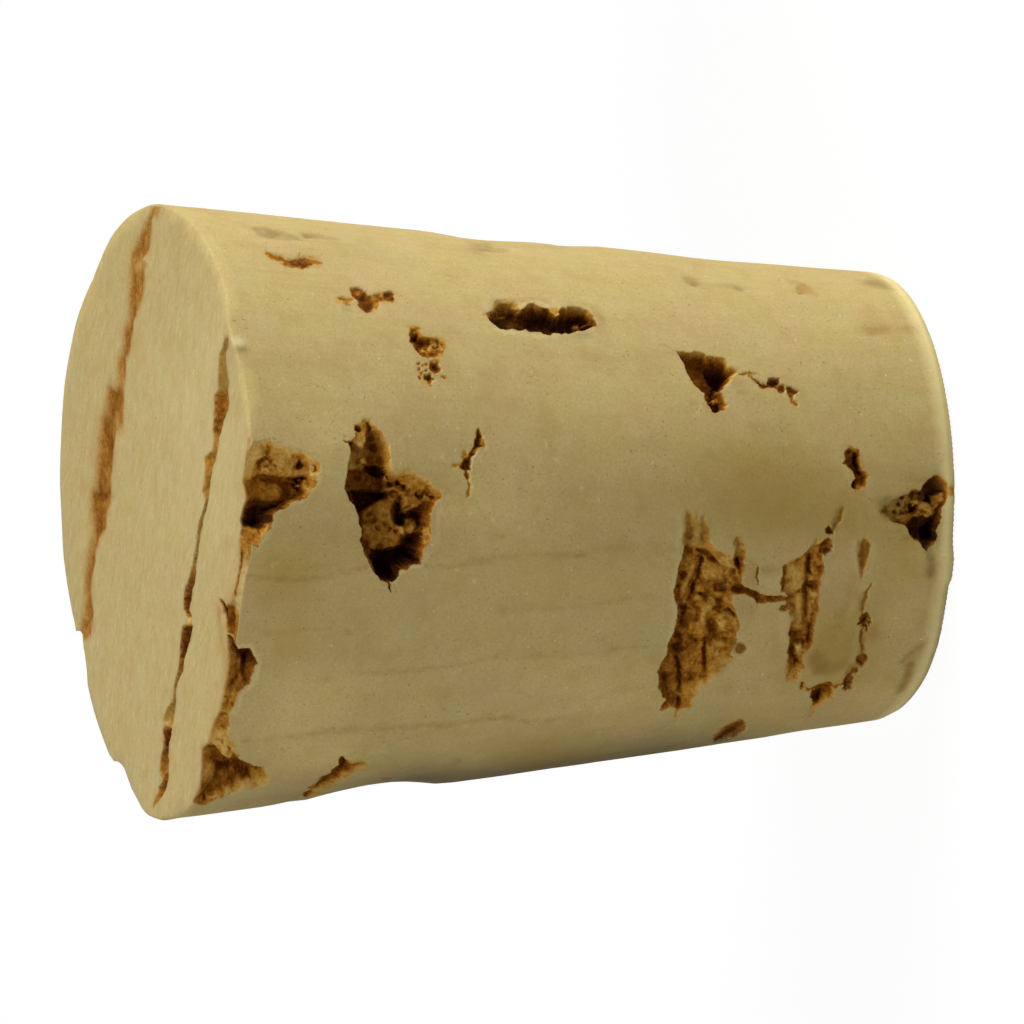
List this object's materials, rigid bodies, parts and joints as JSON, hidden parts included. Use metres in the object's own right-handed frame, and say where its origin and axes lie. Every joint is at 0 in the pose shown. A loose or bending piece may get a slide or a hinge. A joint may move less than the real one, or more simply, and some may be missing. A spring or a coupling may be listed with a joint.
{
  "type": "cork stopper",
  "caption": "Tapered round stopper punched from natural cork, with open growth lines across the wide end and open pores on the side; pushes into a bottle or flask neck.",
  "frame": {"origin": "centre of the narrow end, which the stopper stands on", "axes": "+Z along the stopper's axis, from the narrow end to the wide end; the side with the large open pores faces -Y"},
  "size_m": [0.0254, 0.0253, 0.0318],
  "materials": {
    "cork": "raw natural cork, matt, with brown pores and faint growth lines"
  },
  "bodies": {
    "root": {"stopper": "cork"}
  },
  "joints": []
}
